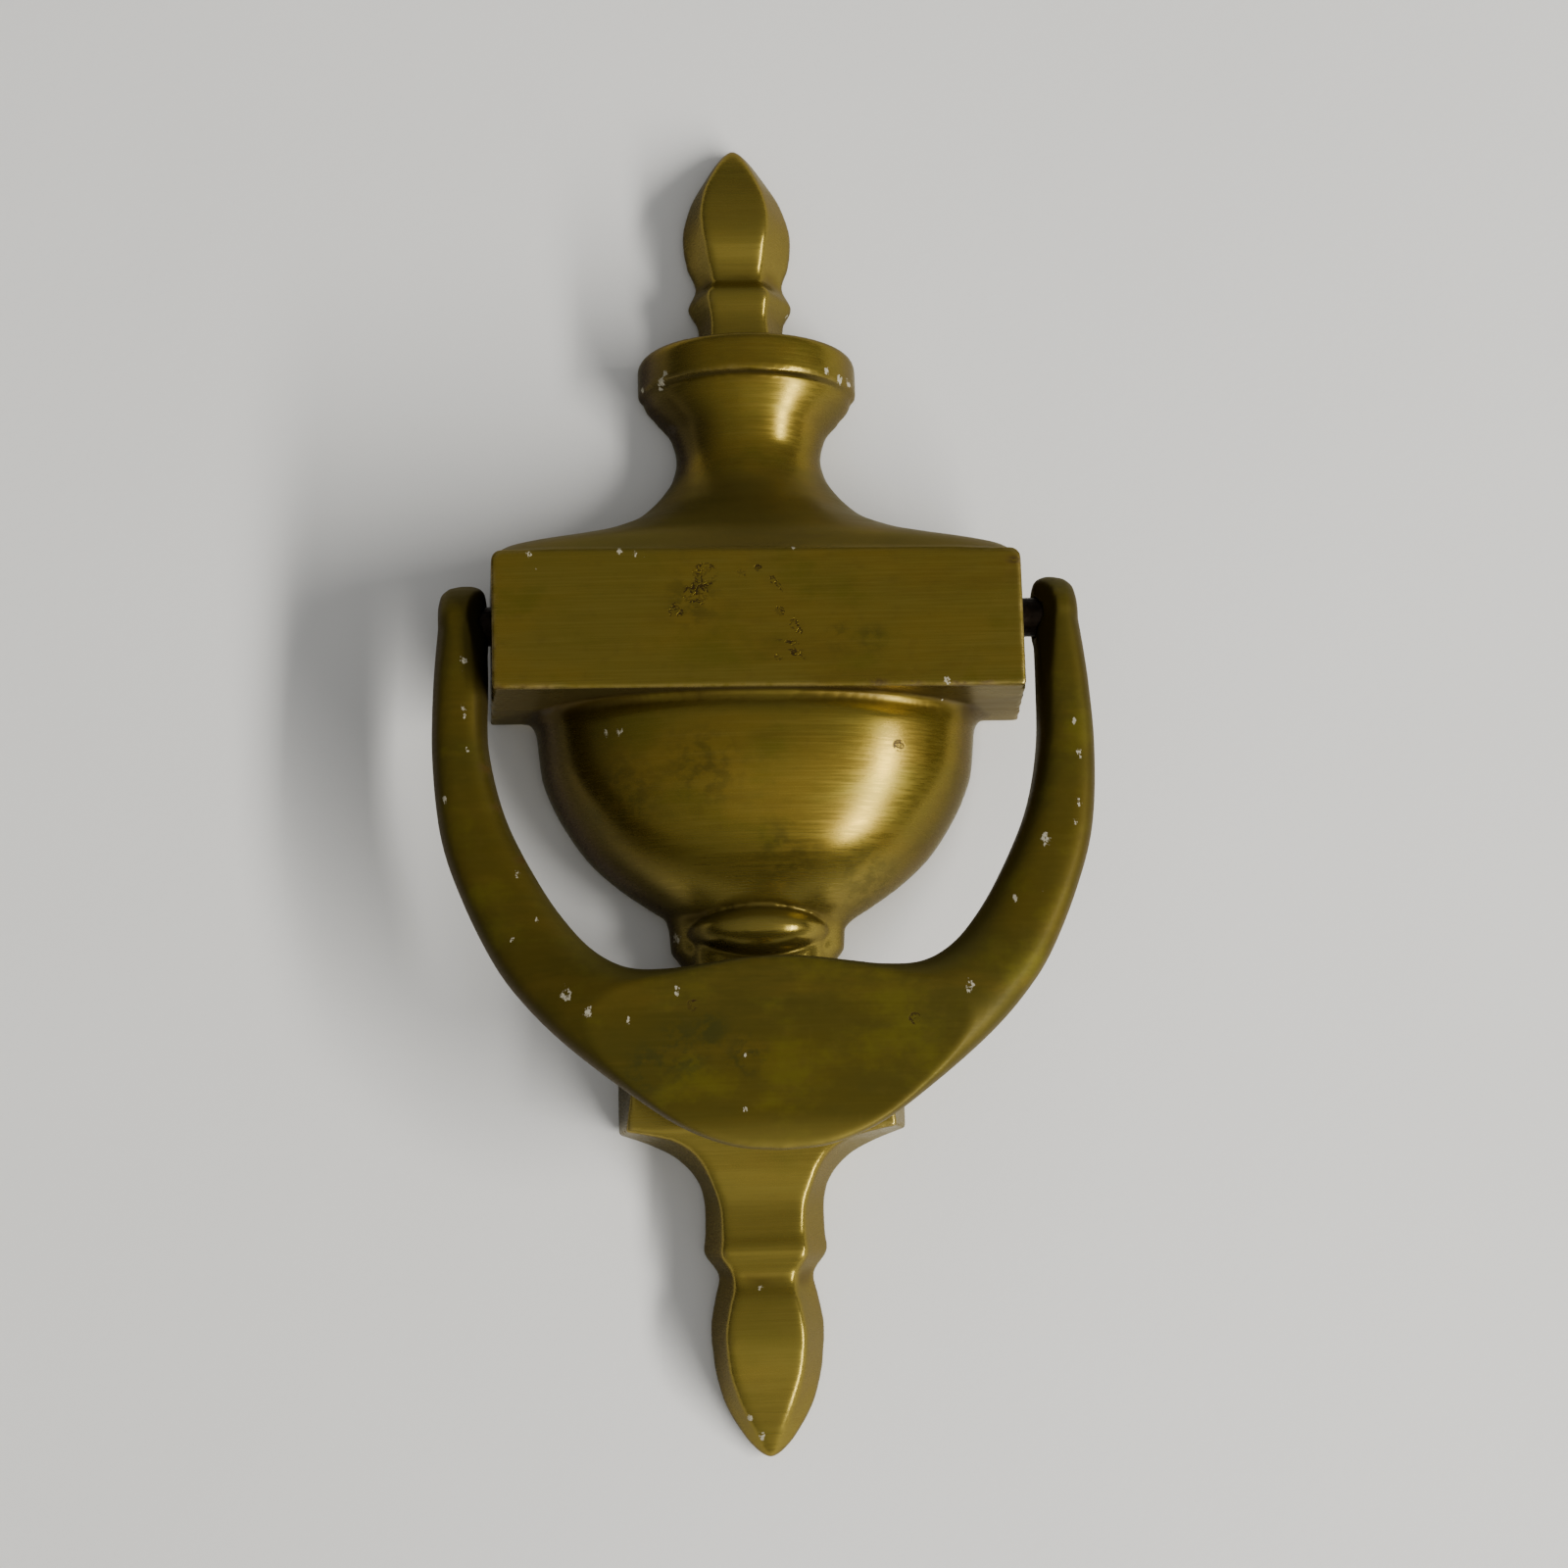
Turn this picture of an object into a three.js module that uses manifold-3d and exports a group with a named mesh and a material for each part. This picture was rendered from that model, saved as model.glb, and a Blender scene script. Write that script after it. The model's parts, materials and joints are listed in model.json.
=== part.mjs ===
// An urn-shaped door knocker in cast brass. The body hangs on a door, and the handle swings on two screws.
// Millimetres. +X runs across the knocker along the pivot axis, +Z is up, and the front faces -Y.
// The back of the body lies in the plane y = 0, and "height" means the distance in front of that plane.
// The origin is on the back face of the stem, between the two bolt bosses.
import * as THREE from 'three';
import { mergeVertices } from 'three/addons/utils/BufferGeometryUtils.js';
import Module from 'manifold-3d';

const wasm = await Module();
wasm.setup();

// ---- Driving dimensions -------------------------------------------------------------------------

const WALL = 3.2; // metal left around the hollows in the back
const BACK_EDGE = 1.4; // upright edge where the faceted lower part meets the door
const OVERRUN = 1; // how far a cutting tool reaches past the face that it enters
const GAP = 0.3; // between pieces that touch

const BOX = { bottom: 38.5, top: 59.5, height: 25, rearHalf: 41.1, frontHalf: 39.2, drop: 0.7 };
const COLLAR = { bottom: 89.6, top: 95.9, radius: 17.3 };
const FOOT = { top: 7.9, bottom: -2, height: 9.4 };
const BEAD = { centre: 4.3, halfHeight: 3.7, halfLength: 9.9, rear: 8, front: 14.3 };
const STEM = { top: 4, bottom: -10, half: 10.5, height: 9.5 };
const PEDESTAL = {
  top: -9, bottom: -25.5, backHalf: 21.7, frontTopHalf: 17.6, frontBottomHalf: 19.9, height: 13,
};
const URN_SHIFT = 0.6; // the urn was cast this far to the right of the finials
const URN_SKEW = -0.011; // and it drops this much for each millimetre to the right

const BOLT = { upperZ: 62, lowerZ: -18, bossRadius: 5.5, holeRadius: 2.5, holeDepth: 11 };
const BOSS_FRONT = { upper: 17, lower: 11 }; // how far forward each boss runs, into the front wall

const PIVOT = { z: 50.5, height: 15, radius: 2.95, runningGap: 0.12, pressGap: 0.1 };
const SIDE_PLAY = 1; // the handle lies this far to the right of the middle
const HANDLE_LEAN = 0.012; // the handle runs this much to the right for each millimetre below the pivot
const FINIAL_LEAN = -0.02; // and the upper finial this much to the left for each millimetre above the collar
const FACET_SHIFT = -0.5; // the finials' front facets were filed a little to the left of the middle
const SCREW = { headRadius: 4.3, headLength: 2.4, slotWidth: 1.2, slotDepth: 1.1, wallFace: 36.6 };
const EAR = { inner: 41.7, outer: 48.1, radius: 6.1, bore: 4.4 };
const LENS = { back: 21.2, front: 29 };
const HAMMER = { z: -17, radius: 4.6, shank: 2.3, shankLength: 4, dome: 1.2 };
const STRIKE = { radius: 4.9, shank: 2.3, shankLength: 5, rise: 2.3, dome: 0.9 };

// ---- Materials ----------------------------------------------------------------------------------

const brass = () => new THREE.MeshStandardMaterial({ color: '#75602a', roughness: 0.42, metalness: 1 });
const studBrass = () => new THREE.MeshStandardMaterial({ color: '#8a6f33', roughness: 0.35, metalness: 1 });
const steel = () => new THREE.MeshStandardMaterial({ color: '#3a3733', roughness: 0.55, metalness: 1 });

// ---- Curves -------------------------------------------------------------------------------------

// A smooth curve through [position, value] points, in rising order of position, that never overshoots them.
function through(points) {
  const slopes = points.slice(1).map(([p, v], i) => (v - points[i][1]) / (p - points[i][0]));
  const tangents = points.map((_, i) => {
    const before = slopes[i - 1] ?? slopes[i];
    const after = slopes[i] ?? before;
    return before * after <= 0 ? 0 : (2 * before * after) / (before + after);
  });
  return (position) => {
    const last = points.length - 2;
    const i = Math.min(last, Math.max(0, points.findIndex(([p]) => p > position) - 1));
    const index = position >= points[last + 1][0] ? last : i;
    const span = points[index + 1][0] - points[index][0];
    const s = THREE.MathUtils.clamp((position - points[index][0]) / span, 0, 1);
    const rise = points[index + 1][1] - points[index][1];
    const bend = (1 - s) * (tangents[index] * span - rise) - s * (tangents[index + 1] * span - rise);
    return points[index][1] + rise * s + s * (1 - s) * bend;
  };
}

// ---- Solids -------------------------------------------------------------------------------------

// The enclosed volume of a triangle list, negative when its faces point inwards.
function signedVolume(positions, index) {
  const corner = (i) => new THREE.Vector3().fromBufferAttribute(positions, index.getX(i));
  let sum = 0;
  for (let i = 0; i < index.count; i += 3) {
    sum += corner(i).dot(corner(i + 1).cross(corner(i + 2))) / 6;
  }
  return sum;
}

// Turns a closed three.js geometry into a manifold solid with its faces pointing out.
function solid(geometry) {
  const bare = geometry.clone();
  bare.deleteAttribute('normal');
  bare.deleteAttribute('uv');
  const merged = mergeVertices(bare, 1e-5);
  const triangles = Uint32Array.from(merged.index.array);
  if (signedVolume(merged.attributes.position, merged.index) < 0) {
    for (let i = 0; i < triangles.length; i += 3) {
      [triangles[i + 1], triangles[i + 2]] = [triangles[i + 2], triangles[i + 1]];
    }
  }
  const vertProperties = Float32Array.from(merged.attributes.position.array);
  return new wasm.Manifold(new wasm.Mesh({ numProp: 3, vertProperties, triVerts: triangles }));
}

// Turns a manifold solid back into a geometry with flat shading.
function geometryOf(manifold) {
  const { vertProperties, triVerts } = manifold.getMesh();
  const geometry = new THREE.BufferGeometry();
  geometry.setAttribute('position', new THREE.BufferAttribute(vertProperties, 3));
  geometry.setIndex(new THREE.BufferAttribute(triVerts, 1));
  const flat = geometry.toNonIndexed();
  flat.computeVertexNormals();
  return flat;
}

// Extrudes an outline in even steps and puts every point of every section where place(u, v, t) says.
function loft(outline, steps, place) {
  const geometry = new THREE.ExtrudeGeometry(outline, { depth: 1, steps, bevelEnabled: false });
  const positions = geometry.attributes.position;
  for (let i = 0; i < positions.count; i += 1) {
    const point = place(positions.getX(i), positions.getY(i), positions.getZ(i));
    positions.setXYZ(i, point.x, point.y, point.z);
  }
  return solid(geometry);
}

const arc = (from, to, count) => Array.from({ length: count + 1 }, (_, i) => {
  const angle = from + ((to - from) * i) / count;
  return new THREE.Vector2(Math.cos(angle), Math.sin(angle));
});
const halfDisc = (count) => new THREE.Shape(arc(0, Math.PI, count));
const disc = (count) => new THREE.Shape(arc(0, 2 * Math.PI, count).slice(0, -1));

// Pulls a point of the unit circle outwards towards the unit square: power 2 keeps the circle.
const squared = (value, power) => Math.sign(value) * Math.abs(value) ** (2 / power);

// A form with a flat back and a rounded front. Its half width, its height and the squareness of its section
// follow the level z. A hollow is the same form, drawn in by the wall and run out through the back.
function roundedForm({ from, to, steps, halfWidth, height, power, inset = 0, sides = 24 }) {
  return loft(halfDisc(sides), steps, (u, v, t) => {
    const z = THREE.MathUtils.lerp(from, to, t);
    const n = power(z);
    const forward = v < 1e-6 ? (inset > 0 ? -OVERRUN : 0) : squared(v, n) * (height(z) - inset);
    return new THREE.Vector3(squared(u, n) * (halfWidth(z) - inset), -forward, z);
  });
}

// A plain block from the door plane forwards, narrower at the front than at the back by the draft. Its
// underside drops a little towards the back.
function draftedBlock({ bottom, top, height, backHalf, frontHalf, drop = 0 }) {
  const corners = [[-1, 0], [1, 0], [1, 1], [-1, 1]].map(([x, z]) => new THREE.Vector2(x, z));
  return loft(new THREE.Shape(corners), 1, (u, v, t) => {
    const half = THREE.MathUtils.lerp(backHalf, frontHalf, t);
    const lowest = bottom - drop * (1 - t);
    return new THREE.Vector3(u * half, -height * t, THREE.MathUtils.lerp(lowest, top, v));
  });
}

// A turned form about an axis from back to front: [radius, height] points from axis to axis.
function turned(points, x, z, segments = 28) {
  const profile = points.map(([radius, height]) => new THREE.Vector2(radius, -height));
  return solid(new THREE.LatheGeometry(profile, segments).translate(x, 0, z));
}

function cylinderAcross(radius, from, to, segments = 28) {
  const bar = new THREE.CylinderGeometry(radius, radius, to - from, segments);
  bar.rotateZ(Math.PI / 2);
  return solid(bar.translate((from + to) / 2, -PIVOT.height, PIVOT.z));
}

const unite = (solids) => solids.reduce((sum, next) => sum.add(next));

// ---- The body casting ---------------------------------------------------------------------------

// The neck is a scotia that spreads from a round waist to the whole top of the box.
const NECK = {
  halfWidth: through([
    [59.4, 39.1], [61, 38.9], [62.4, 36.6], [63.6, 32.3], [64.8, 27.6], [66.3, 23.6], [68.3, 19.6],
    [70.6, 16.8], [73.3, 14.2], [76.6, 12.1], [79.7, 11.4], [83, 12.1], [86, 14.4], [88.3, 16.4],
    [89.9, 16.9],
  ]),
  height: through([
    [59.4, 24.9], [60.8, 24.3], [63, 22.3], [67, 18.3], [71, 15], [75, 12.9], [79.7, 12],
    [83, 12.6], [86, 14.4], [88.3, 16.2], [89.9, 16.7],
  ]),
  power: through([[59.4, 12], [61, 8], [62.6, 5], [63.8, 3.8], [66, 2.9], [71, 2.1], [79, 2], [89.9, 2]]),
};

const BOWL = {
  halfWidth: through([
    [5.2, 12.6], [6.6, 14], [8.4, 16.8], [12, 21.9], [16, 26.2], [21, 29.7], [25, 31.8], [29, 33.2],
    [34, 33.8], [35.8, 34], [37.4, 34.7], [38.6, 36.8],
  ]),
  height: through([
    [5.2, 9.4], [6.6, 10.6], [8.4, 12.4], [12, 15.6], [16, 18.4], [21, 21.1], [26, 23], [31, 24],
    [34.6, 24.2], [36, 23.9], [37.2, 23.3], [38.6, 23.5],
  ]),
  power: () => 2.05,
};

const round = () => 2;

const neck = (inset, from = 59.4, to = 89.9, steps = 20) => roundedForm({ ...NECK, from, to, steps, inset });
const bowl = (inset, from = 5.2, to = 38.6, steps = 18) => roundedForm({ ...BOWL, from, to, steps, inset });

function collar() {
  const softening = through([[0, 0.9], [0.12, 0.2], [0.22, 0], [0.78, 0], [0.88, 0.2], [1, 0.9]]);
  const span = COLLAR.top - COLLAR.bottom;
  const radius = (z) => COLLAR.radius - softening((z - COLLAR.bottom) / span);
  const form = { halfWidth: radius, height: radius, power: round, sides: 34, steps: 10 };
  return roundedForm({ ...form, from: COLLAR.bottom, to: COLLAR.top });
}

function box() {
  const { bottom, top, height, rearHalf, frontHalf, drop } = BOX;
  return draftedBlock({ bottom, top, height, backHalf: rearHalf, frontHalf, drop });
}

// The foot narrows from the bowl into the stem, and an oval bead lies across its front.
function foot() {
  const { top, bottom, height } = FOOT;
  const web = roundedForm({
    from: bottom, to: top, steps: 9, power: () => 2.3,
    halfWidth: through([[bottom, 10.7], [0.4, 12], [2.2, 13.3], [5, 13.5], [top, 14.2]]),
    height: through([[bottom, height + 0.2], [2.2, height], [top, height + 1]]),
  });
  const { centre, halfHeight, halfLength, rear, front } = BEAD;
  const roundness = (z) => Math.sqrt(Math.max(0.02, 1 - ((z - centre) / halfHeight) ** 2));
  const bead = roundedForm({
    from: centre - halfHeight, to: centre + halfHeight, steps: 12, power: () => 2,
    halfWidth: (z) => halfLength * roundness(z) ** 0.8, height: (z) => rear + (front - rear) * roundness(z),
  });
  return web.add(bead);
}

function stem() {
  return roundedForm({
    from: STEM.bottom, to: STEM.top, steps: 6, sides: 20, power: () => 3.2,
    halfWidth: through([[STEM.bottom, STEM.half + 2], [-5, STEM.half], [STEM.top, STEM.half + 0.5]]),
    height: through([[STEM.bottom, STEM.height + 1.5], [-5, STEM.height], [STEM.top, STEM.height + 1]]),
  });
}

// A flat-fronted form with slanted sides. Each level has a back width, a front width and a height.
function facetedForm({ from, to, steps, backHalf, frontHalf, height, lean = 0, shift = 0 }) {
  const section = [[-1, 0], [1, 0], [1, 0.5], [1, 1], [-1, 1], [-1, 0.5]];
  return loft(new THREE.Shape(section.map(([u, v]) => new THREE.Vector2(u, v))), steps, (u, v, t) => {
    const z = THREE.MathUtils.lerp(from, to, t);
    const half = v > 0.75 ? frontHalf(z) : backHalf(z);
    const forward = [0, Math.min(BACK_EDGE, height(z) / 2), height(z)][Math.round(v * 2)];
    const aside = lean * (z - COLLAR.top) + (v > 0.75 ? shift * Math.min(1, half / 4) : 0);
    return new THREE.Vector3(u * half + aside, -forward, z);
  });
}

function upperFinial() {
  return facetedForm({
    from: 95, to: 131.4, steps: 30, lean: FINIAL_LEAN, shift: FACET_SHIFT,
    backHalf: through([
      [95, 7.2], [101.2, 6.7], [104.4, 8.2], [104.9, 8.4], [105.4, 8.2], [108.3, 6.9], [112, 8.2],
      [116.4, 8.7], [121.5, 7.5], [126.6, 4.6], [130.2, 2], [131.4, 0.5],
    ]),
    frontHalf: through([
      [95, 4.6], [101, 4.1], [104.9, 4.5], [108.3, 3.5], [112, 4.2], [118.5, 5], [123, 4.3], [127.5, 2.6],
      [130.4, 1], [131.4, 0.3],
    ]),
    height: through([
      [95, 8.4], [101, 8.3], [104.9, 9.1], [108.3, 6.9], [110, 7.2], [115, 8.8], [115.6, 8.75],
      [121.5, 7.4], [127, 5], [130.4, 3], [131.4, 2.2],
    ]),
  });
}

// From the pedestal down: a cove, a slim neck, a knop and a long finial.
function lowerFinial() {
  return facetedForm({
    from: -73.3, to: -25.3, steps: 38, shift: FACET_SHIFT,
    backHalf: through([
      [-73.3, 0.5], [-72.4, 1.9], [-69.4, 4.4], [-64.7, 6.9], [-59, 8.2], [-54.4, 8.5], [-50, 7.8],
      [-46.8, 7.1], [-43.5, 9.2], [-42.9, 9.4], [-41, 9.1], [-37, 9], [-34, 9.4], [-31.6, 10.6],
      [-29, 13.2], [-27, 17], [-25.3, 21.6],
    ]),
    frontHalf: through([
      [-73.3, 0.3], [-71.6, 0.9], [-68.5, 2.3], [-64.5, 4], [-60, 5.3], [-55.5, 5.7], [-51.5, 5.1],
      [-47.6, 4.2], [-43.4, 6.2], [-41, 5.9], [-37.5, 6], [-33, 7.4], [-29.5, 9.2], [-27, 12.5],
      [-25.3, 19.6],
    ]),
    height: through([
      [-73.3, 2], [-71.5, 3.2], [-68, 5.3], [-64, 7.1], [-59, 8.6], [-55, 9.1], [-50.5, 8.7], [-47, 7.6],
      [-43, 9.7], [-40.5, 9.1], [-37, 8.9], [-32.5, 9.7], [-29, 11.1], [-25.3, 13],
    ]),
  });
}

function pedestal() {
  const { bottom, top, backHalf, frontTopHalf, frontBottomHalf, height } = PEDESTAL;
  const frontHalf = through([[bottom, frontBottomHalf], [top, frontTopHalf]]);
  const sizes = { backHalf: () => backHalf, frontHalf, height: () => height };
  return facetedForm({ from: bottom, to: top, steps: 2, ...sizes });
}

// Sets the urn, from the bowl to the collar, where the casting has it between the finials.
function skewed(urn) {
  const shear = new THREE.Matrix4().set(1, 0, 0, URN_SHIFT, 0, 1, 0, 0, URN_SKEW, 0, 1, 0, 0, 0, 0, 1);
  return urn.transform(shear.elements);
}

// The hollows in the back: one from the neck through the box into the bowl, and one behind the pedestal.
function hollows() {
  const boxHollow = draftedBlock({
    bottom: BOX.bottom + WALL, top: BOX.top - WALL, height: BOX.height - WALL + OVERRUN,
    backHalf: SCREW.wallFace, frontHalf: SCREW.wallFace,
  }).translate([0, OVERRUN, 0]);
  const neckHollow = neck(WALL, 56, 86, 12);
  const bowlHollow = bowl(WALL, 12, 44, 12);
  const pedestalHollow = draftedBlock({
    bottom: PEDESTAL.bottom + WALL, top: PEDESTAL.top - WALL, height: PEDESTAL.height - WALL + OVERRUN,
    backHalf: PEDESTAL.frontTopHalf - WALL, frontHalf: PEDESTAL.frontTopHalf - WALL,
  }).translate([0, OVERRUN, 0]);
  return skewed(unite([boxHollow, neckHollow, bowlHollow])).add(pedestalHollow);
}

const boltBoss = (z, front) => turned([
  [0, 0], [BOLT.bossRadius, 0], [BOLT.bossRadius, front], [0, front],
], 0, z);
const boltHole = (z) => turned([
  [0, -OVERRUN], [BOLT.holeRadius, -OVERRUN], [BOLT.holeRadius, BOLT.holeDepth - 1], [0, BOLT.holeDepth],
], 0, z);

const studHole = (radius, z, from, to) => turned([[0, from], [radius, from], [radius, to], [0, to]], 0, z);

function bodyCasting() {
  const urn = skewed(unite([collar(), neck(0), box(), bowl(0)]));
  const outside = unite([upperFinial(), urn, foot(), stem(), pedestal(), lowerFinial()]);
  const bosses = boltBoss(BOLT.upperZ, BOSS_FRONT.upper).add(boltBoss(BOLT.lowerZ, BOSS_FRONT.lower));
  const boreRadius = PIVOT.radius + PIVOT.runningGap;
  const bores = cylinderAcross(boreRadius, SCREW.wallFace - 4, BOX.rearHalf + 2)
    .add(cylinderAcross(boreRadius, -BOX.rearHalf - 2, -SCREW.wallFace + 4));
  const strikeHole = studHole(
    STRIKE.shank + PIVOT.pressGap, HAMMER.z, PEDESTAL.height - STRIKE.shankLength - 0.5, PEDESTAL.height + 1,
  );
  const holes = unite([boltHole(BOLT.upperZ), boltHole(BOLT.lowerZ), bores, strikeHole]);
  return outside.subtract(hollows()).add(bosses.intersect(outside)).subtract(holes);
}

// A button whose shank sits in the pedestal, where the hammer lands.
function strikeStud() {
  const { radius, shank, shankLength, rise, dome } = STRIKE;
  const seat = PEDESTAL.height + GAP;
  return turned([
    [0, seat - shankLength], [shank, seat - shankLength], [shank, seat], [radius, seat],
    [radius, seat + rise - dome - 0.4], [radius * 0.86, seat + rise - 0.5],
    [radius * 0.45, seat + rise - 0.1], [0, seat + rise],
  ], 0, HAMMER.z);
}

// ---- The handle ---------------------------------------------------------------------------------

// The right half of the handle: matching points of its inner and outer edges in X and Z, from ear to middle.
const EDGE_PAIRS = [
  [[41.7, 50.5], [48.1, 50.5]],
  [[41.5, 40], [49, 40]],
  [[40.8, 30], [49.2, 29]],
  [[38.3, 20], [48, 17.5]],
  [[33.4, 10], [44.9, 8]],
  [[28.9, 3.4], [40.4, -1.6]],
  [[25, -0.4], [35.6, -7.2]],
  [[20.8, -2.4], [30, -12.9]],
  [[15.5, -2.7], [22.8, -19.4]],
  [[10, -2.1], [14.5, -25.2]],
  [[5, -1.5], [7, -28.2]],
  [[0, -1.3], [0, -28.9]],
];
const edgeCurve = (side) => new THREE.SplineCurve(
  EDGE_PAIRS.map((pair) => new THREE.Vector2(...pair[side])),
);
const innerEdge = edgeCurve(0);
const outerEdge = edgeCurve(1);
const HANDLE = {
  back: through([
    [0, 9.2], [0.18, 11.5], [0.36, 14.6], [0.5, 17.8], [0.64, 20.2], [0.75, LENS.back], [1, LENS.back],
  ]),
  front: through([
    [0, 20.9], [0.18, 22], [0.36, 24.3], [0.5, 26.8], [0.62, 28.4], [0.72, LENS.front], [1, LENS.front],
  ]),
  power: through([[0, 2.5], [0.5, 2.5], [0.66, 3.2], [0.8, 5], [1, 6]]),
};

function handleHalf() {
  return loft(disc(16), 36, (u, v, t) => {
    const inner = innerEdge.getPoint(t);
    const outer = outerEdge.getPoint(t);
    const n = HANDLE.power(t);
    const across = squared(u, n) / 2 + 0.5;
    const height = THREE.MathUtils.lerp(HANDLE.back(t), HANDLE.front(t), squared(v, n) / 2 + 0.5);
    const spot = inner.lerp(outer, across);
    return new THREE.Vector3(spot.x, -height, spot.y);
  });
}

// A round ear with a softened outer rim, about the pivot axis.
function ear() {
  const { inner, outer, radius } = EAR;
  const rim = [[1, 0], [1, 0.45], [0.95, 0.72], [0.8, 0.9], [0.55, 0.98], [0, 1]];
  const profile = [[0, inner], ...rim.map(([r, s]) => [radius * r, inner + (outer - inner) * s])];
  const geometry = new THREE.LatheGeometry(profile.map(([r, x]) => new THREE.Vector2(r, x)), 28);
  geometry.rotateZ(-Math.PI / 2);
  return solid(geometry.translate(0, -PIVOT.height, PIVOT.z));
}

function handleCasting() {
  const boreRadius = PIVOT.radius + PIVOT.pressGap;
  const bore = cylinderAcross(boreRadius, EAR.inner - 2, EAR.inner + EAR.bore);
  const right = handleHalf().add(ear()).subtract(bore);
  const whole = right.add(right.mirror([1, 0, 0]));
  const holeEnd = LENS.back + HAMMER.shankLength + 0.5;
  const hole = studHole(HAMMER.shank + PIVOT.pressGap, HAMMER.z, LENS.back - 1, holeEnd);
  return whole.subtract(hole).transform(leaning());
}

// The shear that carries the handle to the right as it goes down from the pivot.
function leaning() {
  const toPivot = new THREE.Matrix4().makeTranslation(0, 0, PIVOT.z);
  const shear = new THREE.Matrix4().set(1, 0, -HANDLE_LEAN, 0, 0, 1, 0, 0, 0, 0, 1, 0, 0, 0, 0, 1);
  return toPivot.clone().multiply(shear).multiply(toPivot.invert()).elements;
}

// A turned stud behind the handle's flat face. It stops just short of the strike.
function hammerStud() {
  const { radius, shank, shankLength, dome } = HAMMER;
  const seat = LENS.back - GAP;
  const tip = PEDESTAL.height + GAP + STRIKE.rise + GAP;
  return turned([
    [0, seat + shankLength], [shank, seat + shankLength], [shank, seat], [radius + 1, seat],
    [radius, seat - 1.4], [radius, tip + dome], [radius * 0.85, tip + 0.4],
    [radius * 0.45, tip + 0.08], [0, tip],
  ], HANDLE_LEAN * (PIVOT.z - HAMMER.z), HAMMER.z);
}

// A slotted screw, put in from the hollow of the box, that turns in the box's end wall and grips the ear.
function pivotScrew() {
  const headFace = SCREW.wallFace - GAP - SIDE_PLAY;
  const shank = cylinderAcross(PIVOT.radius, headFace - 1, EAR.inner + EAR.bore - GAP);
  const head = cylinderAcross(SCREW.headRadius, headFace - SCREW.headLength, headFace);
  const slot = new THREE.BoxGeometry(2 * SCREW.slotDepth, 3 * SCREW.headRadius, SCREW.slotWidth);
  slot.translate(headFace - SCREW.headLength, -PIVOT.height, PIVOT.z);
  return shank.add(head).subtract(solid(slot));
}

// ---- The whole knocker --------------------------------------------------------------------------

const knocker = new THREE.Group();
const swinging = new THREE.Group();
swinging.position.x = SIDE_PLAY;
knocker.add(swinging);

function addPiece(group, name, manifold, material) {
  const mesh = new THREE.Mesh(geometryOf(manifold), material);
  mesh.name = name;
  group.add(mesh);
}

addPiece(knocker, 'body_casting', bodyCasting(), brass());
addPiece(knocker, 'strike_stud', strikeStud(), studBrass());
addPiece(swinging, 'handle_casting', handleCasting(), brass());
addPiece(swinging, 'hammer_stud', hammerStud(), studBrass());
addPiece(swinging, 'pivot_screw_right', pivotScrew(), steel());
addPiece(swinging, 'pivot_screw_left', pivotScrew().mirror([1, 0, 0]), steel());

export default knocker;
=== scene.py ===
import json
import math

import bmesh
import bpy
import numpy as np
from mathutils import Matrix, Vector


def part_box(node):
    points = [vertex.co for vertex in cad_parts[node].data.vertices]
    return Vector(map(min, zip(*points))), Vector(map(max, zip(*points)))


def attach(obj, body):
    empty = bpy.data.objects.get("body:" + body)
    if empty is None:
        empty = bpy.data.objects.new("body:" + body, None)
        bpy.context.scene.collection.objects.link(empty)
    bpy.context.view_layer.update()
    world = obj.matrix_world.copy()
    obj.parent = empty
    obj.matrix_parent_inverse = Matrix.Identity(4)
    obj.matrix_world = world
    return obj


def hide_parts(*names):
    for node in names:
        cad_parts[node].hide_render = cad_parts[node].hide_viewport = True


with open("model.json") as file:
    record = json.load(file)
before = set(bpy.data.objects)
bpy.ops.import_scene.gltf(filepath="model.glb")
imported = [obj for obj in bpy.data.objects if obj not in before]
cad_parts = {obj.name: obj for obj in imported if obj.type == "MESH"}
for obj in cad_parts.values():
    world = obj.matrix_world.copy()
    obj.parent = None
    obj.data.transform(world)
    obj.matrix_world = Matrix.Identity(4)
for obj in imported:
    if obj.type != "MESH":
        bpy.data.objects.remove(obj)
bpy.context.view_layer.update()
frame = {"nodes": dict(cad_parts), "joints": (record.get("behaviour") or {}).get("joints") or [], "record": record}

MM = 0.001
VOXEL = 0.4  # mesh size of the castings
SOFTENING = 2  # smoothing passes that round their edges off
FINIAL_SOFTENING = 10  # smoothing passes on the finials, which are worn rounder
URN_MIDDLE = 35  # level of the middle of the urn
FINIALS_FROM, FINIALS_FULLY = 58, 64  # the finials begin and are reached this far above and below it
BUDGET = 195000  # triangles in one piece
MARKS = ("paint", "stain", "pit", "grime")  # small marks that a piece carries
SECTION_SPACING = 0.5  # between the sections that the castings are built from
SECTION_POINTS = 96  # round a rounded section
TURNED_SIDES = 64  # round a turned form
SMALLEST_RADIUS = 0.02  # of a turned form, at its middle

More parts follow.
